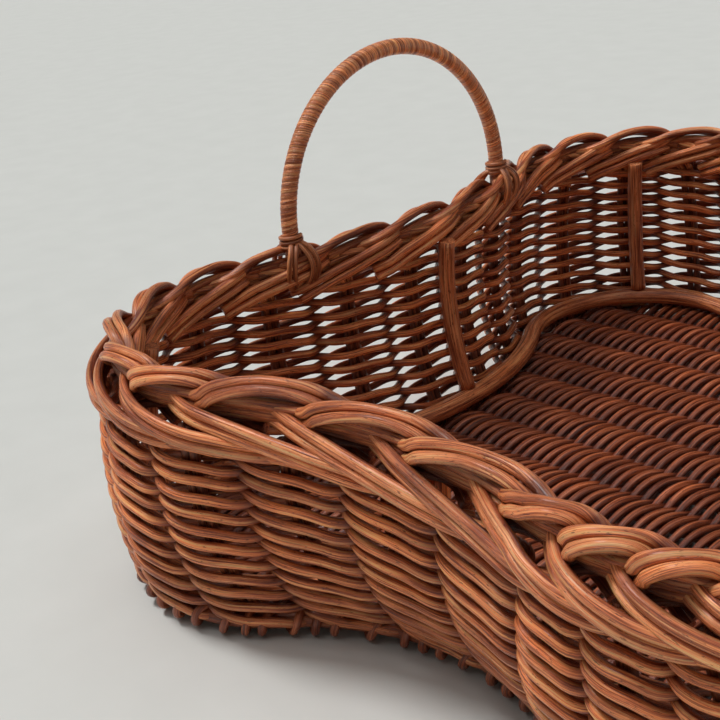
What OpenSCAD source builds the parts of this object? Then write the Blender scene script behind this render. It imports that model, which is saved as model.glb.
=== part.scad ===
// Wavy-edged wicker serving tray with two loop handles.
// Origin: centre of the tray on the surface it rests on. X runs along the tray.
// The wall line is a closed chain of tangent arcs: two lobes at each end with a
// waist between them, and a middle lobe between two waists on each long side.

/* [Wall line at the foot] */
// Centre of the corner lobes, along the tray
foot_lobe_x = 171; // [165:1:177]
// Centre of the corner lobes, across the tray
foot_lobe_y = 96; // [92:1:100]
// Radius of the corner lobes
foot_lobe_r = 53; // [50:1:56]
// Radius of the waist in the middle of each end
foot_end_r = 112; // [100:1:125]
// Radius of the waists on the long sides
foot_side_r = 86; // [78:1:94]
// Centre of the long-side waists, along the tray
foot_side_x = 76; // [73:1:79]
// Radius of the middle lobe on each long side
foot_mid_r = 100; // [85:1:115]

/* [Wall line at the rim] */
// Centre of the corner lobes, along the tray
rim_lobe_x = 161; // [157:1:165]
// Centre of the corner lobes, across the tray
rim_lobe_y = 92; // [89:1:94]
// Radius of the corner lobes
rim_lobe_r = 55; // [52:0.5:58]
// Radius of the waist in the middle of each end
rim_end_r = 180; // [165:1:195]
// Radius of the waists on the long sides
rim_side_r = 190; // [175:1:205]
// Centre of the long-side waists, along the tray
rim_side_x = 76; // [73:1:79]
// Radius of the middle lobe on each long side
rim_mid_r = 72; // [65:1:80]

/* [Wall] */
// Height of the finished border above the table
rim_h = 92; // [88:1:96]
// How far the wall bulges outward at half height
bulge = 6; // [3:0.5:8]
// Number of wall stakes round the tray
stake_count = 48; // [40:4:56]
// Radius of a wall stake
stake_r = 1.6; // [1.4:0.1:1.8]
// Radius of a wall weaver
weaver_r = 1.45; // [1.3:0.05:1.5]
// Height of the lowest row of weaving
first_row_z = 11.6; // [11.6:0.1:12]
// Height from one row of weaving to the next
row_pitch = 5.3; // [5.2:0.05:5.35]
// Number of thick upright posts inside the wall
post_count = 10; // [6:2:12]
// Radius of a post
post_r = 3.2; // [2.6:0.1:3.6]

/* [Base] */
// Radius of a lengthwise floor rib
rib_r = 1.6; // [1.4:0.1:1.8]
// Distance between floor ribs
rib_pitch = 20; // [18:1:22]
// Radius of a crosswise floor weaver
floor_weaver_r = 1.25; // [1.1:0.05:1.3]
// Distance between floor weavers
floor_pitch = 5.2; // [5:0.1:6]
// Radius of the hoop that frames the floor
hoop_r = 2.4; // [2:0.1:2.6]
// Radius of the thick cane laid on the floor against the wall
foot_cane_r = 3.6; // [3:0.1:4]

/* [Border] */
// Radius of the border canes
border_r = 3.1; // [2.8:0.1:3.3]

/* [Handles] */
// Distance between the legs of a handle, centre to centre
handle_span = 110; // [100:1:116]
// Height of a handle's crown above the border
handle_rise = 61; // [56:1:64]
// Radius of the cane inside a handle
handle_core_r = 2; // [1.8:0.1:2.2]
// Thickness of the cane wrapped round a handle
handle_wrap_t = 0.9; // [0.7:0.1:1]

/* [Hidden] */
$fn = 48;
// Room left between neighbouring canes
gap = 0.3;
// Room between two spliced lengths, inside their knuckle
splice_gap = 0.1;
foot_line = [foot_lobe_x, foot_lobe_y, foot_lobe_r, foot_end_r, foot_side_r,
    foot_side_x, foot_mid_r];
rim_line = [rim_lobe_x, rim_lobe_y, rim_lobe_r, rim_end_r, rim_side_r,
    rim_side_x, rim_mid_r];

// Height where the wall line at the foot is drawn
wall_foot_z = 8;
// The stakes, posts and handle legs end this far below the top of the border
border_depth = 20;
stake_top_z = rim_h - border_depth;
// Distance from the wall line to the middle of the weavers on each face
weave_off = stake_r + weaver_r + gap;

// Heights in the base, from the table up
flat_cut = 0.25;
under_z = floor_weaver_r - flat_cut;
rib_z = 2 * floor_weaver_r - flat_cut + gap + rib_r;
over_z = rib_z + rib_r + gap + floor_weaver_r;
hoop_z = 2 * floor_weaver_r + gap + hoop_r;
foot_cane_z = over_z + floor_weaver_r + gap + foot_cane_r;
foot_cane_off = -weave_off - weaver_r - gap - foot_cane_r;
// The floor canes stop this far inside the wall line at the foot
floor_margin = hoop_r + 2 * floor_weaver_r + 2 * gap;

// Stakes and posts stand this far along the wall from even spacing
stake_shift = 4;
post_shift = -7;
post_off = -weave_off - weaver_r - gap - post_r;

// Handle dimensions
handle_r = handle_core_r + gap / 2 + handle_wrap_t;
handle_out = 2.4;
leg_foot_z = rim_h - border_depth;
arch_r = handle_span / 2;
arch_z = rim_h + handle_rise - handle_r - arch_r;

// ---- the wall line as arcs: [centre x, centre y, radius, start, sweep] ----
// A positive sweep is a lobe, a negative one a waist, going anticlockwise.
function end_x(o) = o[0] + sqrt(pow(o[2] + o[3], 2) - pow(o[1], 2));
function side_y(o) = o[1] + sqrt(pow(o[2] + o[4], 2) - pow(o[0] - o[5], 2));
function mid_y(o) = side_y(o) - sqrt(pow(o[4] + o[6], 2) - pow(o[5], 2));
function end_half(o) = atan2(o[1], end_x(o) - o[0]);
function lobe_end(o) = atan2(side_y(o) - o[1], o[5] - o[0]);
function side_end(o) = atan2(mid_y(o) - side_y(o), -o[5]);
function half_line(o) = let (
        e = end_half(o),
        l = lobe_end(o),
        s = side_end(o))
    [
        [end_x(o), 0, o[3], 180 + e, -2 * e],
        [o[0], o[1], o[2], -e, l + e],
        [o[5], side_y(o), o[4], l - 180, s - l + 180],
        [0, mid_y(o), o[6], s + 180, -2 * s - 180],
        [-o[5], side_y(o), o[4], 180 - s, s - l + 180],
        [-o[0], o[1], o[2], 180 - l, l + e]
    ];
function turned(arc) = [-arc[0], -arc[1], arc[2], arc[3] + 180, arc[4]];
function line_arcs(o) = concat(half_line(o), [for (arc = half_line(o)) turned(arc)]);

function arc_radius(arc, off) = arc[2] + (arc[4] > 0 ? off : -off);
function arc_length(arc) = arc[2] * abs(arc[4]) * PI / 180;
function total(v, i = 0) = i == len(v) ? 0 : v[i] + total(v, i + 1);
// The arc that a distance along the line falls in, and the share of that arc
function spot(lengths, dist, i = 0) =
    dist <= lengths[i] || i == len(lengths) - 1
        ? [i, dist / lengths[i]]
        : spot(lengths, dist - lengths[i], i + 1);
function line_point(o, off, where) = let (
        arc = line_arcs(o)[where[0]],
        a = arc[3] + arc[4] * where[1])
    [arc[0] + arc_radius(arc, off) * cos(a), arc[1] + arc_radius(arc, off) * sin(a)];

foot_lengths = [for (arc = line_arcs(foot_line)) arc_length(arc)];
foot_total = total(foot_lengths);
// Distances run from the middle of the end at +X, which halves the first arc
function place(dist) = let (d = dist + foot_lengths[0] / 2)
    spot(foot_lengths, d < 0 ? d + foot_total : d % foot_total);

// ---- the wall's shape at a height ----
function rise(z) = (z - wall_foot_z) / (rim_h - wall_foot_z);
function wall_line(z) = foot_line * (1 - rise(z)) + rim_line * rise(z);
function wall_bulge(z) = bulge * 4 * rise(z) * (1 - rise(z));
function wall_point(dist, off, z) = let (
        p = line_point(wall_line(z), off + wall_bulge(z), place(dist)))
    [p[0], p[1], z];

// ---- the floor's extent, inside the wall line at the foot ----
lobe_in = foot_lobe_r - floor_margin;
mid_in = foot_mid_r - floor_margin;
side_out = foot_side_r + floor_margin;
end_out = foot_end_r + floor_margin;
side_cy = side_y(foot_line);
mid_cy = mid_y(foot_line);
end_cx = end_x(foot_line);
lobe_join_x = foot_lobe_x + lobe_in * cos(lobe_end(foot_line));
mid_join_x = mid_in * cos(side_end(foot_line) + 180);
end_join_y = end_out * sin(end_half(foot_line));
waist_x = end_cx - end_out;
waist_y = side_cy - side_out;
function half_chord(r, d) = sqrt(max(r * r - d * d, 0));
// How far the floor reaches across the tray at x, and along it at y
function floor_y(x) = x < mid_join_x ? mid_cy + half_chord(mid_in, x)
    : x < lobe_join_x ? side_cy - half_chord(side_out, x - foot_side_x)
    : foot_lobe_y + half_chord(lobe_in, x - foot_lobe_x);
function floor_x(y) = y < end_join_y ? end_cx - half_chord(end_out, y)
    : foot_lobe_x + half_chord(lobe_in, y - foot_lobe_y);
// Where the middle of an end cuts into the floor at x
function notch_y(x) = let (join_x = end_cx - end_out * cos(end_half(foot_line)))
    x < waist_x ? 0
    : x < join_x ? half_chord(end_out, end_cx - x)
    : foot_lobe_y - half_chord(lobe_in, x - foot_lobe_x);

// ---- building pieces ----
// A cane bowed along the circle through three points
module bowed_cane(a, b, c, r) {
    u = b - a;
    v = c - a;
    n = cross(u, v);
    centre = a + ((v * v) * cross(n, u) + (u * u) * cross(v, n)) / (2 * (n * n));
    radius = norm(a - centre);
    x = (a - centre) / radius;
    z = n / norm(n);
    y = cross(z, x);
    end = c - centre;
    multmatrix([
            [x[0], y[0], z[0], centre[0]],
            [x[1], y[1], z[1], centre[1]],
            [x[2], y[2], z[2], centre[2]]])
        rotate_extrude(angle = atan2(end * y, end * x))
            translate([radius, 0])
                circle(r);
}

// A length of cane along one arc of a wall line, and the knuckle where the
// next length is spliced on
module bent_cane(arc, off, z, r) {
    big = arc_radius(arc, off);
    open = splice_gap / big * 180 / PI;
    first = min(arc[3], arc[3] + arc[4]);
    translate([arc[0], arc[1], z]) {
        rotate([0, 0, first + open / 2])
            rotate_extrude(angle = abs(arc[4]) - open)
                translate([big, 0])
                    circle(r);
        rotate([0, 0, arc[3]])
            translate([big, 0])
                sphere(r + splice_gap);
    }
}

// A cane bent into a closed ring that follows a wall line
module ring_cane(o, off, z, r) {
    for (arc = line_arcs(o))
        bent_cane(arc, off, z, r);
}

module weaver(row, side) {
    z = first_row_z + (row - 1) * row_pitch;
    color("sienna")
        ring_cane(wall_line(z), wall_bulge(z) + side * weave_off, z, weaver_r);
}

// ---- base ----
module base_hoop() {
    color("saddlebrown")
        ring_cane(foot_line, 0, hoop_z, hoop_r);
}

module inner_foot_cane() {
    color("saddlebrown")
        ring_cane(foot_line, foot_cane_off, foot_cane_z, foot_cane_r);
}

ribs_a_side = floor((waist_y - rib_r) / rib_pitch);
module floor_ribs() {
    color("sienna")
        for (n = [-ribs_a_side : ribs_a_side]) {
            y = n * rib_pitch;
            x = floor_x(abs(y) + rib_r);
            translate([-x, y, rib_z])
                rotate([0, 90, 0])
                    cylinder(h = 2 * x, r = rib_r);
        }
}

// A straight floor cane across the tray, with its underside cut level if worn
module floor_cane(x, y0, y1, z, cut) {
    translate([x, y1, z])
        rotate([90, 0, 0])
            linear_extrude(y1 - y0)
                difference() {
                    circle(floor_weaver_r);
                    if (cut > 0)
                        translate([-floor_weaver_r, cut - 2 * floor_weaver_r])
                            square([2 * floor_weaver_r, floor_weaver_r]);
                }
}

// One floor cane across the tray at x, in one run or one run in each lobe
module cross_cane(x, z, cut) {
    reach = min(floor_y(abs(x) + floor_weaver_r), floor_y(max(abs(x) - floor_weaver_r, 0)));
    notch = notch_y(abs(x) + floor_weaver_r);
    if (notch > 0) {
        floor_cane(x, notch, reach, z, cut);
        floor_cane(x, -reach, -notch, z, cut);
    } else {
        floor_cane(x, -reach, reach, z, cut);
    }
}

floor_end_x = foot_lobe_x + lobe_in - 2 * floor_weaver_r;
cross_count = floor(floor_end_x / floor_pitch);
module cross_canes(first, z, cut) {
    for (n = [first : 2 : cross_count])
        for (side = n == 0 ? [1] : [-1, 1])
            cross_cane(side * n * floor_pitch, z, cut);
}

module floor_weavers_over() {
    color("peru")
        cross_canes(1, over_z, 0);
}

// The canes under the floor are worn flat where the tray stands on them
module floor_weavers_under() {
    color("peru")
        cross_canes(0, under_z, flat_cut);
}

// Weaver ends turned round the base hoop all the way round
wrap_count = 2 * round(foot_total / (4 * floor_pitch));
module hoop_wraps() {
    color("peru")
        for (n = [0 : wrap_count - 1]) {
            where = place((n + 0.5) * foot_total / wrap_count);
            arc = line_arcs(foot_line)[where[0]];
            p = line_point(foot_line, 0, where);
            translate([p[0], p[1], hoop_z])
                rotate([0, 0, arc[3] + arc[4] * where[1]])
                    rotate([90, 0, 0])
                        rotate_extrude()
                            translate([hoop_r + gap / 2 + floor_weaver_r, 0])
                                circle(floor_weaver_r);
        }
}

// ---- wall ----
module wall_stakes() {
    color("sienna")
        for (n = [0 : stake_count - 1]) {
            dist = n * foot_total / stake_count + stake_shift;
            bottom = hoop_z + hoop_r + 2 * floor_weaver_r + 2 * gap;
            middle = (bottom + stake_top_z) / 2;
            bowed_cane(wall_point(dist, 0, bottom), wall_point(dist, 0, middle),
                wall_point(dist, 0, stake_top_z), stake_r);
        }
}

module post(n) {
    dist = n * foot_total / post_count + post_shift;
    bottom = foot_cane_z + foot_cane_r + gap;
    middle = (bottom + stake_top_z) / 2;
    color("saddlebrown")
        bowed_cane(wall_point(dist, post_off, bottom), wall_point(dist, post_off, middle),
            wall_point(dist, post_off, stake_top_z), post_r);
}

// ---- border ----
// place is the distance out from the wall line and the drop from the top
module border_cane(place) {
    color("chocolate")
        ring_cane(rim_line, place[0], rim_h - place[1], border_r);
}

// ---- handles, drawn for the end at +X ----
leg_x = end_x(rim_line) - sqrt(pow(rim_end_r, 2) - pow(arch_r, 2)) + handle_out;

// The bent loop with a ring section from bore to outside
module loop(bore, outside) {
    translate([leg_x, 0, arch_z])
        rotate([90, 0, 90])
            rotate_extrude(angle = 180)
                translate([arch_r, 0])
                    ring_section(bore, outside);
    for (side = [-1, 1])
        translate([leg_x, side * arch_r, leg_foot_z])
            linear_extrude(arch_z - leg_foot_z)
                ring_section(bore, outside);
}

module ring_section(bore, outside) {
    difference() {
        circle(outside);
        if (bore > 0)
            circle(bore);
    }
}

module at_end(side) {
    rotate([0, 0, side > 0 ? 0 : 180])
        children();
}

module handle_core(side) {
    color("saddlebrown")
        at_end(side)
            loop(0, handle_core_r);
}

module handle_wrap(side) {
    color("chocolate")
        at_end(side)
            loop(handle_core_r + gap / 2, handle_r);
}

// Turns of binding cane round a leg where it meets the border
lash_r = 1.2;
lash_turns = 3;
module handle_lashing(side, leg) {
    color("peru")
        at_end(side)
            for (n = [0 : lash_turns - 1])
                translate([leg_x, leg * arch_r, rim_h + 1 + n * (2 * lash_r + gap)])
                    rotate_extrude()
                        translate([handle_r + gap / 2 + lash_r, 0])
                            circle(lash_r);
}

// Border canes: distance out from the wall line, and drop from the top
border_inner_top = [-5.6, border_r];
border_inner_low = [-6.6, 3 * border_r + gap];
border_outer_top = [8.2, border_r + 1];
border_outer_mid = [11, 3 * border_r + 2 * gap];
border_outer_low = [8.8, 5 * border_r + 3 * gap];

base_hoop();
inner_foot_cane();
floor_ribs();
floor_weavers_over();
floor_weavers_under();
hoop_wraps();
wall_stakes();
weaver(1, 1);  // weaver_01_outer
weaver(1, -1);  // weaver_01_inner
weaver(2, 1);  // weaver_02_outer
weaver(2, -1);  // weaver_02_inner
weaver(3, 1);  // weaver_03_outer
weaver(3, -1);  // weaver_03_inner
weaver(4, 1);  // weaver_04_outer
weaver(4, -1);  // weaver_04_inner
weaver(5, 1);  // weaver_05_outer
weaver(5, -1);  // weaver_05_inner
weaver(6, 1);  // weaver_06_outer
weaver(6, -1);  // weaver_06_inner
weaver(7, 1);  // weaver_07_outer
weaver(7, -1);  // weaver_07_inner
weaver(8, 1);  // weaver_08_outer
weaver(8, -1);  // weaver_08_inner
weaver(9, 1);  // weaver_09_outer
weaver(9, -1);  // weaver_09_inner
weaver(10, 1);  // weaver_10_outer
weaver(10, -1);  // weaver_10_inner
weaver(11, 1);  // weaver_11_outer
weaver(11, -1);  // weaver_11_inner
weaver(12, 1);  // weaver_12_outer
weaver(12, -1);  // weaver_12_inner
post(0);  // post_01
post(1);  // post_02
post(2);  // post_03
post(3);  // post_04
post(4);  // post_05
post(5);  // post_06
post(6);  // post_07
post(7);  // post_08
post(8);  // post_09
post(9);  // post_10
border_cane(border_inner_top);
border_cane(border_inner_low);
border_cane(border_outer_top);
border_cane(border_outer_mid);
border_cane(border_outer_low);
handle_core(-1);  // handle_core_left
handle_core(1);  // handle_core_right
handle_wrap(-1);  // handle_wrap_left
handle_wrap(1);  // handle_wrap_right
handle_lashing(-1, 1);  // lashing_left_front
handle_lashing(-1, -1);  // lashing_left_back
handle_lashing(1, -1);  // lashing_right_front
handle_lashing(1, 1);  // lashing_right_back
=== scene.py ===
"""The looks of the wavy-edged wicker serving tray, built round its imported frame.

Lengths are millimetres until a mesh is made. Distances round the wall are
measured along the foot line, anticlockwise from the middle of the +X end.
"""
import math

import bpy
import numpy as np
from mathutils import Matrix, Vector


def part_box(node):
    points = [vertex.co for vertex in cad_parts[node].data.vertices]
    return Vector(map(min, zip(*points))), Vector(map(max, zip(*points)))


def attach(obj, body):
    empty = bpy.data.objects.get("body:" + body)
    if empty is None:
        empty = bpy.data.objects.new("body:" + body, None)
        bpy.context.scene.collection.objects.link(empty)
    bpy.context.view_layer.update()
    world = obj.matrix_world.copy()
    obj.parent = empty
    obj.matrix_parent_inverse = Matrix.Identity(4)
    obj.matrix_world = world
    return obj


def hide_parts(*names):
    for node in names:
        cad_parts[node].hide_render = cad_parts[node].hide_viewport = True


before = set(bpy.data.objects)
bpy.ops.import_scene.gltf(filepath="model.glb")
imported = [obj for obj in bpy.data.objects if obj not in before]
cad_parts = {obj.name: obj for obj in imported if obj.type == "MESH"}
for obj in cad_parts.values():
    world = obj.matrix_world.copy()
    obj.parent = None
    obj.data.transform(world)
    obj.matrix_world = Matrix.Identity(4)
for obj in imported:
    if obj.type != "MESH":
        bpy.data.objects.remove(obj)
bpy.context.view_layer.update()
MM = 0.001
rng = np.random.default_rng(7)


# ---- sizes read from the frame ----
def node_box(name):
    low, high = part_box(name)
    return np.array(low) / MM, np.array(high) / MM


def middle_z(name):
    low, high = node_box(name)
    return (low[2] + high[2]) / 2


RIM_H = node_box("border_inner_top")[1][2]
ROW_Z = [middle_z("weaver_%02d_outer" % row) for row in range(1, 13)]
HOOP_Z = middle_z("base_hoop")
RIB_Z = middle_z("floor_ribs")
FOOT_CANE_Z = middle_z("inner_foot_cane")
HANDLE_LOW, HANDLE_HIGH = node_box("handle_wrap_right")
HANDLE_X = (HANDLE_LOW[0] + HANDLE_HIGH[0]) / 2
HANDLE_R = (HANDLE_HIGH[0] - HANDLE_LOW[0]) / 2
ARCH_R = (HANDLE_HIGH[1] - HANDLE_LOW[1]) / 2 - HANDLE_R
ARCH_Z = HANDLE_HIGH[2] - HANDLE_R - ARCH_R

# ---- the wall line, as in the part's source ----
# Lobe centre x and y, lobe radius, end waist radius, side waist radius,
# side waist x, middle lobe radius
FOOT_LINE = np.array([171, 96, 53, 112, 86, 76, 100], float)
RIM_LINE = np.array([161, 92, 55, 180, 190, 76, 72], float)
WALL_FOOT_Z = 8.0
BULGE = 6.0

# ---- canes: radii, and how they are spaced ----
HOOP_R = 2.4
FOOT_CANE_R = 3.6
RIB_R = 1.6
RIB_PITCH = 20.0
FLOOR_WEAVER_R = 1.42
FLOOR_PITCH = 4.5
COIL_R = 1.35
COIL_PITCH = 8.3
STAKES = 48
STAKE_R = 1.6
STAKE_SHIFT = 4.0      # where the first stake stands, along the wall
STAKE_HALF_GAP = 1.55  # from a stake's middle to each of its two rods
WEAVER_R = 1.5
WEAVE_OFF = 3.1        # how far a weaver swings out of the wall line
WEAVE_LIFT = 1.75      # how far it rises or dips where a pair crosses
POSTS = 10
POST_R = 3.2
POST_SHIFT = -7.0
POST_OFF = -8.3        # inside the wall line


def arcs_of(line):
    """The wall line's 12 arcs: centre x, y, radius, start and sweep in radians.
    line holds one set of numbers, or a row of them for each point."""
    lobe_x, lobe_y, lobe_r, end_r, side_r, side_x, mid_r = np.moveaxis(
        np.atleast_2d(line), -1, 0)
    end_x = lobe_x + np.sqrt((lobe_r + end_r) ** 2 - lobe_y ** 2)
    side_y = lobe_y + np.sqrt((lobe_r + side_r) ** 2 - (lobe_x - side_x) ** 2)
    mid_y = side_y - np.sqrt((side_r + mid_r) ** 2 - side_x ** 2)
    end = np.arctan2(lobe_y, end_x - lobe_x)
    lobe = np.arctan2(side_y - lobe_y, side_x - lobe_x)
    side = np.arctan2(mid_y - side_y, -side_x)
    pi, zero = np.pi, np.zeros_like(end)
    half = [
        [end_x, zero, end_r, pi + end, -2 * end],
        [lobe_x, lobe_y, lobe_r, -end, lobe + end],
        [side_x, side_y, side_r, lobe - pi, side - lobe + pi],
        [zero, mid_y, mid_r, side + pi, -2 * side - pi],
        [-side_x, side_y, side_r, pi - side, side - lobe + pi],
        [-lobe_x, lobe_y, lobe_r, pi - lobe, lobe + end],
    ]
    turned = [[-a[0], -a[1], a[2], a[3] + pi, a[4]] for a in half]
    return np.moveaxis(np.array(half + turned), -1, 0)


FOOT_ARCS = arcs_of(FOOT_LINE)[0]
FOOT_LENGTHS = FOOT_ARCS[:, 2] * np.abs(FOOT_ARCS[:, 4])
FOOT_ENDS = np.cumsum(FOOT_LENGTHS)
FOOT_TOTAL = FOOT_ENDS[-1]
STAKE_PITCH = FOOT_TOTAL / STAKES


def wall(dist, off=0.0, z=0.0):
    """Points on the wall at distances round it, off outward and at height z,
    with the outward direction at each."""
    dist, off, z = np.broadcast_arrays(*[np.asarray(v, float) for v in (dist, off, z)])
    dist, off, z = dist.ravel(), off.ravel(), z.ravel()
    d = (dist + FOOT_LENGTHS[0] / 2) % FOOT_TOTAL
    which = np.minimum(np.searchsorted(FOOT_ENDS, d), 11)
    share = (d - (FOOT_ENDS - FOOT_LENGTHS)[which]) / FOOT_LENGTHS[which]
    up = (z - WALL_FOOT_Z) / (RIM_H - WALL_FOOT_Z)
    line = FOOT_LINE + np.clip(up, 0, 1.1)[:, None] * (RIM_LINE - FOOT_LINE)
    arc = arcs_of(line)[np.arange(len(d)), which]
    angle = arc[:, 3] + arc[:, 4] * share
    turn = np.sign(arc[:, 4])
    grown = arc[:, 2] + turn * (off + np.maximum(BULGE * 4 * up * (1 - up), 0))
    ray = np.stack([np.cos(angle), np.sin(angle)], -1)
    at = arc[:, :2] + grown[:, None] * ray
    out = np.column_stack([ray * turn[:, None], np.zeros(len(d))])
    return np.column_stack([at, z]), out


def unit(v):
    return v / np.maximum(np.linalg.norm(v, axis=-1, keepdims=True), 1e-9)


def smooth(points, count):
    """A smooth curve through the points (Catmull-Rom), with count samples."""
    p = np.asarray(points, float)
    p = np.vstack([2 * p[0] - p[1], p, 2 * p[-1] - p[-2]])
    t = np.linspace(0, len(p) - 3 - 1e-9, count)
    i = t.astype(int)
    t = (t - i)[:, None]
    a, b, c, d = p[i], p[i + 1], p[i + 2], p[i + 3]
    return 0.5 * (2 * b + (c - a) * t + (2 * a - 5 * b + 4 * c - d) * t ** 2
                  + (3 * b - a - 3 * c + d) * t ** 3)


def wander(count, size, step=14):
    """A slow random drift, so that no cane runs quite true."""
    knots = rng.normal(0, size, max(count // step, 2) + 4)
    return np.interp(np.linspace(0, len(knots) - 1, count), np.arange(len(knots)), knots)


def ring_turn(sides):
    """The angles of a cane's vertices round its section."""
    return np.arange(sides) * 2 * np.pi / sides


def blend(value, low, high):
    """0 below low, 1 above high, and an even curve between."""
    share = np.clip((value - low) / (high - low), 0, 1)
    return share * share * (3 - 2 * share)


# ---- canes gathered into meshes ----
class Bundle:
    """Canes that share one mesh. Each vertex keeps its place along and round
    its own cane in "grain", its cane's shade in "tone", and in a third attribute
    how little painted shade it gets, low in the weave's hollows and on hidden sides."""

    def __init__(self):
        self.points, self.faces = [], []
        self.grain, self.tone, self.unshaded = [], [], []
        self.size = 0

    def cane(self, path, radius, side=(0, 0, 1), sides=8, closed=False, flat=1.0,
             rough=0.03, unshaded=1.0):
        """A round cane along path. side fixes how its section is turned, and
        flat squashes it across that direction."""
        path = np.asarray(path, float)
        n = len(path)
        ahead = np.roll(path, -1, 0) - np.roll(path, 1, 0)
        if not closed:
            ahead[0] = path[1] - path[0]
            ahead[-1] = path[-1] - path[-2]
        ahead = unit(ahead)
        side = np.broadcast_to(np.asarray(side, float), path.shape)
        across = unit(np.cross(ahead, side))
        lift = np.cross(across, ahead)
        own = rng.normal(0, 0.03)
        r = radius * (1 + own + wander(n, rough))
        if closed:
            fade = np.minimum(np.arange(n), np.arange(n)[::-1]) / 12
            r = radius * (1 + own) + (r - radius * (1 + own)) * np.minimum(fade, 1)
        c, s = np.cos(ring_turn(sides)), np.sin(ring_turn(sides))
        ring = (path[:, None] + (r[:, None] * c)[..., None] * across[:, None]
                + (r[:, None] * s * flat)[..., None] * lift[:, None])
        step = np.linalg.norm(np.diff(path, axis=0), axis=1)
        along = np.concatenate([[0], np.cumsum(step)]) + rng.uniform(0, 5000)
        thick = float(np.max(radius))
        grain = np.stack(np.broadcast_arrays(
            along[:, None], (thick * c)[None] + rng.uniform(0, 500),
            (thick * s)[None]), -1)
        first = self.size
        index = first + np.arange(n * sides).reshape(n, sides)
        rows = np.arange(n if closed else n - 1)
        nxt = (rows + 1) % n
        quads = np.stack([index[rows], np.roll(index, -1, 1)[rows],
                          np.roll(index, -1, 1)[nxt], index[nxt]], -1)
        self.faces += quads.reshape(-1, 4).tolist()
        self.points.append(ring.reshape(-1, 3))
        self.grain.append(grain.reshape(-1, 3))
        self.tone.append(np.full(n * sides, rng.uniform(0, 1)))
        # The painted shade of each vertex: 0 is the darkest, 1 is none
        self.unshaded.append(np.broadcast_to(unshaded, (n, sides)).ravel())
        self.size += n * sides
        if not closed:
            self.faces.append(index[0][::-1].tolist())
            self.faces.append(index[-1].tolist())

    def make(self, name, material, slot, *nodes):
        """The finished piece, riding on the tray and standing for nodes."""
        mesh = bpy.data.meshes.new(name)
        mesh.from_pydata((np.vstack(self.points) * MM).tolist(), [], self.faces)
        mesh.polygons.foreach_set("use_smooth", [len(f) == 4 for f in self.faces])
        grain = mesh.attributes.new("grain", "FLOAT_VECTOR", "POINT")
        grain.data.foreach_set("vector", np.vstack(self.grain).ravel())
        for word, values in (("tone", self.tone), ("unshaded", self.unshaded)):
            attribute = mesh.attributes.new(word, "FLOAT", "POINT")
            attribute.data.foreach_set("value", np.concatenate(values))
        mesh.materials.append(material)
        piece = bpy.data.objects.new(name, mesh)
        bpy.context.scene.collection.objects.link(piece)
        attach(piece, "root")
        if nodes:
            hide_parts(*nodes)
        return piece


# ---- materials ----
class Nodes:
    """A short way to write a material's nodes."""

    def __init__(self, name):
        self.material = bpy.data.materials.new(name)
        self.material.use_nodes = True
        self.tree = self.material.node_tree
        self.shader = self.tree.nodes["Principled BSDF"]

    def add(self, kind, **settings):
        node = self.tree.nodes.new("ShaderNode" + kind)
        for key, value in settings.items():
            setattr(node, key, value)
        return node

    def join(self, source, target):
        self.tree.links.new(source, target)

    def noise(self, vector, scale, detail, rough=0.5):
        node = self.add("TexNoise")
        node.inputs["Scale"].default_value = scale
        node.inputs["Detail"].default_value = detail
        node.inputs["Roughness"].default_value = rough
        self.join(vector, node.inputs["Vector"])
        return node.outputs["Fac"]

    def stretch(self, vector, scale):
        node = self.add("VectorMath", operation="MULTIPLY")
        node.inputs[1].default_value = scale
        self.join(vector, node.inputs[0])
        return node.outputs[0]

    def ramp(self, factor, stops):
        node = self.add("ValToRGB")
        element = node.color_ramp.elements
        while len(element) < len(stops):
            element.new(0.5)
        for e, (place, colour) in zip(element, stops):
            e.position = place
            e.color = (*colour, 1)
        self.join(factor, node.inputs["Fac"])
        return node.outputs["Color"]

    def range(self, value, low, high, to_low, to_high):
        node = self.add("MapRange")
        for key, v in zip(("From Min", "From Max", "To Min", "To Max"),
                          (low, high, to_low, to_high)):
            node.inputs[key].default_value = v
        self.join(value, node.inputs["Value"])
        return node.outputs["Result"]

    def mix(self, factor, a, b, blend="MIX"):
        node = self.add("Mix", data_type="RGBA", blend_type=blend)
        for value, key in ((factor, 0), (a, 6), (b, 7)):
            if isinstance(value, (int, float)):
                node.inputs[key].default_value = value
            elif isinstance(value, tuple):
                node.inputs[key].default_value = (*value, 1)
            else:
                self.join(value, node.inputs[key])
        return node.outputs[2]


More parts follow.
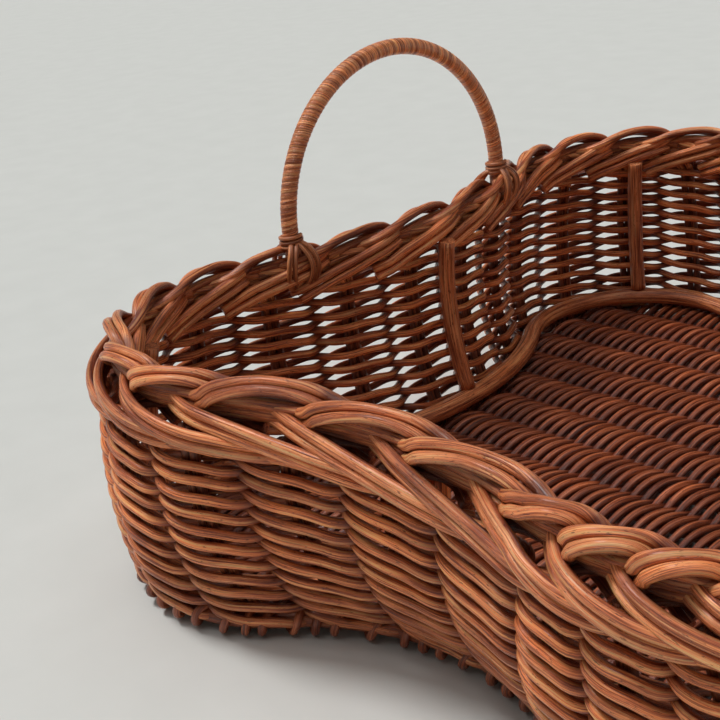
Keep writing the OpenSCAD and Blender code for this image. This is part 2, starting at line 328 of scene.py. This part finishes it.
def cane_material(name, deep, body, light, grain=1.0, bump=0.7):
    """Stained round cane: fine lines along it, small dark flecks, blotches
    where the stain took unevenly, each cane its own shade, and painted shade
    where a vertex lies deep in the weave or faces away."""
    n = Nodes(name)
    place = n.add("Attribute", attribute_name="grain").outputs["Vector"]
    tone = n.add("Attribute", attribute_name="tone").outputs["Fac"]
    streak = n.noise(n.stretch(place, (0.04, 1.7 * grain, 1.7 * grain)), 1.0, 3, 0.6)
    fine = n.noise(n.stretch(place, (0.07, 4.0 * grain, 4.0 * grain)), 1.0, 4, 0.7)
    blotch = n.noise(n.stretch(place, (0.04, 0.15, 0.15)), 1.0, 3, 0.55)
    fleck = n.noise(n.stretch(place, (0.5, 2.2, 2.2)), 1.0, 3, 0.6)
    pale = tuple(min(1.5 * v + 0.06, 1) for v in light)
    lines = n.ramp(streak, [(0.39, deep), (0.47, body), (0.55, light), (0.64, pale)])
    thin = n.ramp(fine, [(0.42, deep), (0.50, body), (0.58, light)])
    colour = n.mix(0.4, lines, thin)
    shade = n.ramp(blotch, [(0.34, (0.70, 0.60, 0.55)), (0.50, (1, 1, 1)),
                            (0.70, (1.22, 1.19, 1.08))])
    colour = n.mix(1.0, colour, shade, "MULTIPLY")
    own = n.ramp(tone, [(0.0, (0.78, 0.72, 0.68)), (0.4, (0.96, 0.95, 0.94)),
                        (1.0, (1.20, 1.16, 1.06))])
    colour = n.mix(1.0, colour, own, "MULTIPLY")
    marks = n.ramp(fleck, [(0.60, (1, 1, 1)), (0.70, (0.35, 0.26, 0.22))])
    colour = n.mix(1.0, colour, marks, "MULTIPLY")
    # Painted shade: darker where the vertex attribute below is low, in the weave's hollows
    # and on hidden sides, with a slight painted highlight where it is 1
    unshaded = n.add("Attribute", attribute_name="unshaded").outputs["Fac"]
    painted_shade = n.ramp(unshaded, [(0.0, (0.32, 0.19, 0.13)), (0.5, (0.70, 0.60, 0.54)),
                           (1.0, (1.08, 1.08, 1.08))])
    colour = n.mix(1.0, colour, painted_shade, "MULTIPLY")
    n.join(colour, n.shader.inputs["Base Color"])
    n.join(n.range(fine, 0.35, 0.65, 0.42, 0.24), n.shader.inputs["Roughness"])
    height = n.add("Math", operation="ADD")
    n.join(fine, height.inputs[0])
    n.join(streak, height.inputs[1])
    relief = n.add("Bump")
    relief.inputs["Strength"].default_value = bump
    relief.inputs["Distance"].default_value = 0.0005
    n.join(height.outputs[0], relief.inputs["Height"])
    n.join(relief.outputs["Normal"], n.shader.inputs["Normal"])
    n.shader.inputs["Specular IOR Level"].default_value = 0.5
    n.shader.inputs["Coat Weight"].default_value = 0.2
    n.shader.inputs["Coat Roughness"].default_value = 0.22
    return n.material


WEAVE = cane_material("weaving_cane", (0.17, 0.027, 0.007), (0.68, 0.16, 0.047),
                      (1.0, 0.36, 0.125))
BORDER = cane_material("border_cane", (0.21, 0.038, 0.011), (0.76, 0.195, 0.062),
                       (1.0, 0.39, 0.155))
FLOOR = cane_material("floor_cane", (0.085, 0.015, 0.005), (0.28, 0.06, 0.019),
                      (0.42, 0.115, 0.04))
THICK = cane_material("thick_cane", (0.18, 0.035, 0.011), (0.62, 0.18, 0.062),
                      (0.88, 0.32, 0.125), grain=0.7)
WRAP = cane_material("wrapping_cane", (0.24, 0.055, 0.018), (0.66, 0.20, 0.075),
                     (0.92, 0.36, 0.155))
BINDING = cane_material("binding_cane", (0.15, 0.036, 0.013), (0.46, 0.14, 0.053),
                        (0.72, 0.28, 0.12))
# Darker than the other canes as painted shade, since the stakes are seen only through the
# gaps of the weave
STAKE = cane_material("stake_cane", (0.10, 0.022, 0.007), (0.32, 0.085, 0.031),
                      (0.50, 0.17, 0.07))


# ---- base ----
def build_hoops():
    """The closed hoop under the wall, and the thick cane inside its foot,
    whose thinned ends lie side by side where they overlap."""
    hoop = Bundle()
    dist = np.arange(0, FOOT_TOTAL, FOOT_TOTAL / round(FOOT_TOTAL / 3.0))
    path = wall(dist, 0, HOOP_Z)[0]
    # Painted shadow: the hoop is coloured dark, as it lies in shade behind the coil
    hoop.cane(path, HOOP_R, closed=True, sides=12, rough=0.02, unshaded=0.1)
    hoop.make("base_hoop_cane", THICK, "thick_cane", "base_hoop")

    high = node_box("inner_foot_cane")[1]
    off = (high[0] - FOOT_LINE[0] - FOOT_LINE[2]) - FOOT_CANE_R
    overlap, steps = 60, 520
    dist = np.linspace(0, FOOT_TOTAL + overlap, steps)
    path, out = wall(dist, off + wander(steps, 0.25), FOOT_CANE_Z)
    start = np.clip(1 - dist / overlap, 0, 1)
    end = np.clip((dist - FOOT_TOTAL) / overlap, 0, 1)
    path += out * (1.3 * start - 1.3 * end)[:, None]
    cane = Bundle()
    cane.cane(path, FOOT_CANE_R * (1 - 0.45 * np.maximum(start, end)), sides=14, rough=0.03)
    cane.make("foot_cane", THICK, "thick_cane", "inner_foot_cane")


def build_hoop_wraps():
    """The floor weavers' turns round the base hoop, as one uneven coil."""
    turns = round(FOOT_TOTAL / COIL_PITCH)
    count = turns * 16
    share = np.linspace(0, 1, count)
    dist = share * FOOT_TOTAL + wander(count, 1.6, 16)
    angle = share * turns * 2 * np.pi
    core, out = wall(dist, 0, HOOP_Z)
    up = np.array([0, 0, 1])
    beside = (HOOP_R + 0.8 * COIL_R + wander(count, 0.15, 9)) * np.cos(angle)
    above = (HOOP_Z - COIL_R - 0.3 - np.abs(wander(count, 0.15, 9))) * np.sin(angle)
    ray = out * beside[:, None] + up * above[:, None]
    coil = Bundle()
    # Slight painted shade over the whole coil, which sits under the wall
    coil.cane(core + ray, COIL_R, side=ray, sides=8, unshaded=0.75)
    coil.make("hoop_coil", FLOOR, "floor_cane", "hoop_wraps")


def build_ribs():
    """Straight canes along the tray that the floor is woven on."""
    low, high = node_box("floor_ribs")
    ribs = Bundle()
    steps = 90
    count = int(round((high[1] - low[1] - 2 * RIB_R) / RIB_PITCH / 2))
    for n in range(-count, count + 1):
        y = n * RIB_PITCH
        reach = floor_x(abs(y) + RIB_R)
        x = np.linspace(-reach, reach, steps)
        path = np.column_stack([x, y + wander(steps, 0.25), np.full(steps, RIB_Z)])
        # Painted shade: the ribs lie under the floor weavers and are coloured darker
        ribs.cane(path, RIB_R, sides=8, unshaded=0.3)
    ribs.make("floor_rib_canes", FLOOR, "floor_cane", "floor_ribs")


# The floor's edge: the arcs of the foot line, moved in by a margin
FLOOR_MARGIN = HOOP_R + 2 * FLOOR_WEAVER_R + 0.6
E_X, E_R = FOOT_ARCS[0][0], FOOT_LINE[3] + FLOOR_MARGIN
S_Y, S_R = FOOT_ARCS[2][1], FOOT_LINE[4] + FLOOR_MARGIN
M_Y, M_R = FOOT_ARCS[3][1], FOOT_LINE[6] - FLOOR_MARGIN
L_R = FOOT_LINE[2] - FLOOR_MARGIN


def chord(radius, dist):
    """Half the chord of a circle at a distance from its centre."""
    return math.sqrt(max(radius * radius - dist * dist, 0))


def floor_x(y):
    """How far the floor reaches along the tray at y."""
    if y < E_R * math.sin(-FOOT_ARCS[0][4] / 2):
        return E_X - chord(E_R, y)
    return FOOT_LINE[0] + chord(L_R, y - FOOT_LINE[1])


def floor_y(x):
    """How far the floor reaches across the tray at x."""
    if x < M_R * math.cos(FOOT_ARCS[3][3]):
        return M_Y + chord(M_R, x)
    if x < FOOT_LINE[0] + L_R * math.cos(FOOT_ARCS[1][3] + FOOT_ARCS[1][4]):
        return S_Y - chord(S_R, x - FOOT_LINE[5])
    return FOOT_LINE[1] + chord(L_R, x - FOOT_LINE[0])


def notch_y(x):
    """Where the middle of an end cuts into the floor at x."""
    if x < E_X - E_R:
        return 0.0
    if x < E_X - E_R * math.cos(FOOT_ARCS[0][4] / 2):
        return chord(E_R, E_X - x)
    return FOOT_LINE[1] - chord(L_R, x - FOOT_LINE[0])


def build_floor():
    """Pairs of weavers twined across the ribs, each pair one row. The floor is
    four meshes, which together stand for the two nodes of floor weavers."""
    swing = RIB_Z - FLOOR_WEAVER_R
    rows = int((FOOT_LINE[0] + L_R - 2 * FLOOR_WEAVER_R) / FLOOR_PITCH)
    quarters = np.array_split(np.arange(-rows, rows + 1), 4)
    for q, group in enumerate(quarters):
        weave = Bundle()
        for n in group:
            x = n * FLOOR_PITCH
            reach = floor_y(abs(x))
            notch = notch_y(abs(x) + FLOOR_WEAVER_R)
            spans = [(-reach, reach)] if notch <= 0 else [(-reach, -notch), (notch, reach)]
            for a, b in spans:
                count = max(int((b - a) / 2), 6)
                y = np.linspace(a, b, count)
                turn = np.pi * y / RIB_PITCH
                drift = wander(count, 0.16)
                for sign in (1, -1):
                    path = np.column_stack([
                        x + drift + sign * 1.3 * np.sin(turn),
                        y,
                        RIB_Z + sign * swing * np.cos(turn)])
                    # Painted shade: darker where the weaver dips near the ribs, deep in the
                    # floor
                    depth = sign * swing * np.cos(turn)[:, None]
                    depth = np.abs(depth + FLOOR_WEAVER_R * np.sin(ring_turn(6)))
                    weave.cane(path, FLOOR_WEAVER_R, sides=6, unshaded=blend(depth, 0.4, 3.6))
        nodes = {0: ["floor_weavers_over"], 1: ["floor_weavers_under"]}.get(q, [])
        weave.make("floor_weave_%d" % (q + 1), FLOOR, "floor_cane", *nodes)


# ---- wall ----
def build_stakes():
    """Two rods side by side at each stake's place, up into the border."""
    low, high = node_box("wall_stakes")
    stakes = Bundle()
    steps = 26
    z = np.linspace(low[2], high[2] + 2, steps)
    for n in range(STAKES):
        for side in (1, -1):
            middle = n * STAKE_PITCH + STAKE_SHIFT
            dist = middle + side * STAKE_HALF_GAP + wander(steps, 0.15)
            path, out = wall(dist, 0, z)
            # Painted shade: the stakes are seen only in the weave's gaps
            stakes.cane(path, STAKE_R, side=out, sides=7, unshaded=0.4)
    stakes.make("wall_stake_canes", STAKE, "stake_cane", "wall_stakes")


def build_rows():
    """Each row is a pair of weavers that cross between the stakes, the one
    going inward passing under the one coming out. The lowest rows are beaten
    down a little, towards the hoop."""
    count = STAKES * 16
    squareness = 2.4
    dist = np.linspace(0, FOOT_TOTAL, count, endpoint=False)
    for row, z in enumerate(ROW_Z):
        pair = Bundle()
        drift = wander(count, 0.28, 26)
        drift *= np.minimum(np.minimum(np.arange(count), np.arange(count)[::-1]) / 30, 1)
        lowered = 2.2 * (1 - row / 11) + 2.0 * max(0, 1 - row / 5)
        for sign in (1, -1):
            turn = np.pi * (dist - STAKE_SHIFT) / STAKE_PITCH
            off = sign * WEAVE_OFF * np.tanh(squareness * np.cos(turn)) / np.tanh(squareness)
            lift = -sign * WEAVE_LIFT * np.sin(turn) * np.abs(np.sin(turn)) ** 2.2
            path = wall(dist, off, z - lowered + drift + lift)[0]
            # Painted shade: darker where the weaver passes deep between the stakes, in the
            # hollows of the wall
            depth = np.abs(off[:, None] + WEAVER_R * np.cos(ring_turn(8)))
            pair.cane(path, WEAVER_R, closed=True, sides=8, unshaded=blend(depth, 1.0, 4.3))
        name = "weaver_%02d_" % (row + 1)
        pair.make("wall_row_%02d" % (row + 1), WEAVE, "weaving_cane",
                  name + "outer", name + "inner")


def build_posts():
    """Thick uprights inside the wall, from its foot up under the border."""
    for n in range(POSTS):
        node = "post_%02d" % (n + 1)
        low, high = node_box(node)
        z = np.linspace(low[2], high[2] + 4, 24)
        path, out = wall(n * FOOT_TOTAL / POSTS + POST_SHIFT, POST_OFF, z)
        post = Bundle()
        post.cane(path, POST_R, side=out, sides=16, rough=0.025)
        post.make("upright_" + node, THICK, "thick_cane", node)


# ---- border ----
# The way one pair of rods goes, from its own stake: stake spacings along,
# distance out from the wall, height above the top of the border, and how far
# the border's surface leans back from upright there, in degrees
ROD_R = 1.62
ROD_ROUTE = np.array([
    (0.00, -0.4, -24.0, 0), (0.04, -1.2, -19.0, 0), (0.25, -2.4, -15.0, 0),
    (0.75, -2.4, -12.2, 0), (1.10, -0.4, -10.8, 0), (1.26, 2.4, -8.8, 10),
    (1.40, 4.0, -6.0, 30), (1.64, 3.6, -3.9, 55), (1.90, 1.8, -3.3, 70),
    (2.16, -0.8, -4.3, 60), (2.40, -3.0, -7.0, 30), (2.64, -2.6, -9.4, 10),
    (2.90, 0.8, -11.2, 0), (3.23, 4.4, -13.0, 0), (3.63, 6.2, -15.2, 0),
    (4.03, 6.6, -17.4, 0), (4.43, 6.0, -19.4, 0), (4.78, 4.0, -20.9, 0),
    (5.08, 0.9, -21.4, 0)])
# Where a pair's cut ends lie on the inner face, from the same stake
TAIL_ROUTE = np.array([
    (0.28, -2.6, -8.6, 0), (0.58, -5.2, -10.6, 0), (1.03, -6.4, -14.0, 0),
    (1.43, -6.2, -17.6, 0), (1.68, -5.4, -20.2, 0)])
# An extra pair, a guess, that fills the gaps in the heart of the plait
HEART_ROUTE = np.array([
    (0.10, -1.6, -11.0, 0), (0.60, 0.1, -10.4, 0), (1.20, 0.4, -9.6, 0),
    (1.80, 0.3, -8.8, 0), (2.25, -0.8, -9.8, 0)])


def lay_pair(bundle, stake, route, steps, spread, unshaded=1.0):
    """Two rods side by side on the border's surface, along a route."""
    line = smooth(route, steps)
    dist = (stake + line[:, 0]) * STAKE_PITCH + STAKE_SHIFT
    off = line[:, 1] + wander(steps, 0.3, 20)
    height = RIM_H + line[:, 2] + wander(steps, 0.25, 20)
    path, out = wall(dist, off, height)
    # Painted shade: each rod is darker on the sides that turn into the plait and where the
    # border faces inward
    seen = np.clip(line[:, 1] / 1.5 + line[:, 3] / 30, -1, 1)[:, None]
    lean = np.radians(line[:, 3])[:, None]
    facing = out * np.cos(lean) + np.array([0, 0, 1]) * np.sin(lean)
    ahead = unit(np.gradient(path, axis=0))
    beside = unit(np.cross(facing, ahead))
    for sign in (1, -1):
        apart = sign * spread * (1 + wander(steps, 0.05, 20))[:, None]
        lift = facing * wander(steps, 0.2, 24)[:, None]
        bundle.cane(path + apart * beside + lift, ROD_R, side=facing, sides=9,
                    unshaded=unshaded * blend(seen * np.sin(ring_turn(9)), -0.6, 0.6))


def build_border():
    """A plait of pairs of rods, one pair from each stake. Its four meshes each
    hold a quarter of the stakes, and together stand for the five rings."""
    nodes = [["border_outer_low", "border_outer_mid"], ["border_outer_top"],
             ["border_inner_top"], ["border_inner_low"]]
    for q, group in enumerate(np.array_split(np.arange(STAKES), 4)):
        plait = Bundle()
        for stake in group:
            lay_pair(plait, stake, ROD_ROUTE, 92, 1.0 * ROD_R)
            lay_pair(plait, stake, TAIL_ROUTE, 22, 1.05 * ROD_R)
            # Extra painted shade on the heart pair, deep in the plait
            lay_pair(plait, stake, HEART_ROUTE, 34, 0.9 * ROD_R, 0.6)
        plait.make("border_rods_%d" % (q + 1), BORDER, "border_cane", *nodes[q])


# ---- handles ----
# The flat strips wound round each loop: half width, thickness to width, and
# how far one turn of the two strips goes
STRIP_R = 1.15
STRIP_FLAT = 0.27
STRIP_PITCH = 3.9
HANDLE_CORE_R = 2.05
# A lashing: how far its loops reach out from their middle, up and down, and
# aslant, where that middle is, and the cane's radius
LOOP_OUT, LOOP_UP, LOOP_SLANT = 8.2, 9.4, 4.2
LOOP_MIDDLE_OFF, LOOP_MIDDLE_DROP = 0.8, 9.8
LOOP_R = 1.0
# The short coil over it round the handle's leg
COLLAR_TURNS = 2.6
COLLAR_RISE = 4.4
COLLAR_DROP = 2.2
COLLAR_R = 0.85


def handle_path(count, foot_drop):
    """The loop of the handle at the +X end, from one leg's foot to the other's."""
    leg = np.linspace(-foot_drop, 0, 24)[:-1]
    upright = np.full(len(leg), ARCH_R)
    turn = np.linspace(0, np.pi, 140)
    y = np.concatenate([upright, ARCH_R * np.cos(turn), -upright])
    z = ARCH_Z + np.concatenate([leg, ARCH_R * np.sin(turn), leg[::-1]])
    raw = np.column_stack([np.full(len(y), HANDLE_X), y, z])
    length = np.concatenate([[0], np.cumsum(np.linalg.norm(np.diff(raw, axis=0), axis=1))])
    at = np.linspace(0, length[-1], count)
    return np.column_stack([np.interp(at, length, raw[:, k]) for k in range(3)]), length[-1]


def turned(path, end):
    """The same path at the tray's other end."""
    return path if end > 0 else path * [-1, -1, 1]


def build_handle(end, word):
    """A bent cane, and the two flat strips wound round it."""
    drop = ARCH_Z - HANDLE_LOW[2]
    core_path, length = handle_path(150, drop)
    core = Bundle()
    core.cane(turned(core_path, end), HANDLE_CORE_R, side=(1, 0, 0), sides=10)
    core.make("handle_cane_" + word, THICK, "thick_cane", "handle_core_" + word)

    path = handle_path(round(length / STRIP_PITCH) * 16, drop)[0]
    ahead = unit(np.gradient(path, axis=0))
    side = np.array([1.0, 0, 0])
    other = np.cross(ahead, side)
    wrap = Bundle()
    for start in (0, np.pi):
        angle = start + np.arange(len(path)) * 2 * np.pi / 16
        ray = side * np.cos(angle)[:, None] + other * np.sin(angle)[:, None]
        coil = path + ray * (HANDLE_R - STRIP_R * STRIP_FLAT)
        # Painted shade on the strips' inner faces, which lie against the core
        wrap.cane(turned(coil, end), STRIP_R, side=turned(ray, end), sides=8,
                  flat=STRIP_FLAT, unshaded=blend(np.sin(ring_turn(8)), -0.9, 0.7))
    wrap.make("handle_winding_" + word, WRAP, "wrapping_cane", "handle_wrap_" + word)


def build_lashing(end, leg, node):
    """Two crossed double loops of binding that hold a handle's leg to the
    border, and a short coil above them round the leg."""
    binding = Bundle()
    leg_turn = math.asin(ARCH_R / RIM_LINE[3]) / abs(arcs_of(RIM_LINE)[0][0][4])
    dist = leg * leg_turn * FOOT_LENGTHS[0]
    steps = 72
    turn = np.linspace(0, 2 * np.pi, steps)
    up = np.array([0, 0, 1])
    for slant in (1, -1):
        for shift in (-1.0, 1.0):
            off = LOOP_MIDDLE_OFF + LOOP_OUT * np.cos(turn)
            z = RIM_H - LOOP_MIDDLE_DROP + LOOP_UP * np.sin(turn)
            along = dist + slant * LOOP_SLANT * np.cos(turn) + shift + wander(steps, 0.2)
            path, out = wall(along, off, z)
            ray = unit(out * np.cos(turn)[:, None] + up * np.sin(turn)[:, None])
            binding.cane(turned(path, end), LOOP_R, side=turned(ray, end), sides=7)
    turn = np.linspace(0, 2 * np.pi * COLLAR_TURNS, 100)
    ring = np.column_stack([np.cos(turn), np.sin(turn), 0 * turn])
    foot = np.array([HANDLE_X, leg * ARCH_R, RIM_H - COLLAR_DROP])
    rise = up * np.linspace(0, COLLAR_RISE, len(turn))[:, None]
    coil = foot + ring * (HANDLE_R + 0.7) + rise
    binding.cane(turned(coil, end), COLLAR_R, side=turned(ring, end), sides=6)
    binding.make("binding_" + node, BINDING, "binding_cane", node)


# ---- floor, light and camera ----
# The paper's radius and height, ring by ring, in metres
SWEEP = [(4.5, 0), (4.9, 0.04), (5.3, 0.16), (5.7, 0.4), (6.0, 0.8), (6.2, 1.4), (6.25, 2.2)]


def build_stage():
    """A paper floor that sweeps up all round, far from the tray."""
    sides = 64
    turn = np.arange(sides) * 2 * np.pi / sides
    rings = [(r * np.cos(turn), r * np.sin(turn), np.full(sides, z)) for r, z in SWEEP]
    points = np.moveaxis(np.array(rings), 1, 2).reshape(-1, 3)
    faces = [list(range(sides))]
    for ring in range(len(SWEEP) - 1):
        for n in range(sides):
            a, b = ring * sides + n, ring * sides + (n + 1) % sides
            faces.append([a, a + sides, b + sides, b])
    mesh = bpy.data.meshes.new("studio_floor")
    mesh.from_pydata(points.tolist(), [], faces)
    mesh.polygons.foreach_set("use_smooth", [True] * len(faces))
    floor = bpy.data.objects.new("studio_floor", mesh)
    bpy.context.scene.collection.objects.link(floor)
    n = Nodes("studio_paper")
    place = n.add("TexCoord").outputs["Object"]
    paper = n.ramp(n.noise(place, 40.0, 3), [(0.3, (0.655, 0.665, 0.635)),
                                             (0.7, (0.68, 0.69, 0.66))])
    n.join(paper, n.shader.inputs["Base Color"])
    n.shader.inputs["Roughness"].default_value = 0.9
    mesh.materials.append(n.material)


def add_lamp(name, kind, energy, place):
    """A lamp at a place, aimed at the middle of the tray."""
    data = bpy.data.lights.new(name, kind)
    data.energy = energy
    lamp = bpy.data.objects.new(name, data)
    lamp.location = place
    lamp.rotation_euler = (-Vector(place)).to_track_quat("-Z", "Y").to_euler()
    bpy.context.scene.collection.objects.link(lamp)
    return data


def build_lights():
    """Soft light from above, a little stronger from one side."""
    world = bpy.data.worlds.new("studio")
    world.use_nodes = True
    sky = world.node_tree.nodes["Background"]
    sky.inputs["Color"].default_value = (1.0, 0.97, 0.93, 1)
    sky.inputs["Strength"].default_value = 0.05
    bpy.context.scene.world = world
    bpy.context.scene.view_settings.view_transform = "Standard"
    add_lamp("window", "SUN", 1.72, (-0.55, -0.25, 1.2)).angle = math.radians(14)
    add_lamp("ceiling", "SUN", 1.15, (-0.1, -0.15, 1.3)).angle = math.radians(70)


# The camera stands low at the front, looking along the tray towards its -X end
CAMERA_PLACE = (0.1336, -0.317, 0.22)
CAMERA_HEADING = math.radians(139.96)
CAMERA_PITCH = math.radians(22.35)
CAMERA_ROLL = math.radians(6.79)
CAMERA_LENS = 62.39


def build_camera():
    """The camera, turned by its heading, pitch and roll."""
    data = bpy.data.cameras.new("camera")
    data.lens = CAMERA_LENS
    data.sensor_width = 36
    data.clip_start = 0.01
    camera = bpy.data.objects.new("camera", data)
    h, p, r = CAMERA_HEADING, CAMERA_PITCH, CAMERA_ROLL
    ahead = Vector((math.cos(p) * math.cos(h), math.cos(p) * math.sin(h), -math.sin(p)))
    level = Vector((math.sin(h), -math.cos(h), 0))
    down = ahead.cross(level)
    right = level * math.cos(r) + down * math.sin(r)
    down = down * math.cos(r) - level * math.sin(r)
    turn = Matrix((right, -down, -ahead)).transposed()
    camera.matrix_world = Matrix.Translation(CAMERA_PLACE) @ turn.to_4x4()
    bpy.context.scene.collection.objects.link(camera)
    bpy.context.scene.camera = camera


build_camera()
build_lights()
build_stage()
build_hoops()
build_hoop_wraps()
build_ribs()
build_floor()
build_stakes()
build_rows()
build_posts()
build_border()
for end, word in ((1, "right"), (-1, "left")):
    build_handle(end, word)
for end, leg, node in ((-1, 1, "lashing_left_front"), (-1, -1, "lashing_left_back"),
                       (1, -1, "lashing_right_front"), (1, 1, "lashing_right_back")):
    build_lashing(end, leg, node)
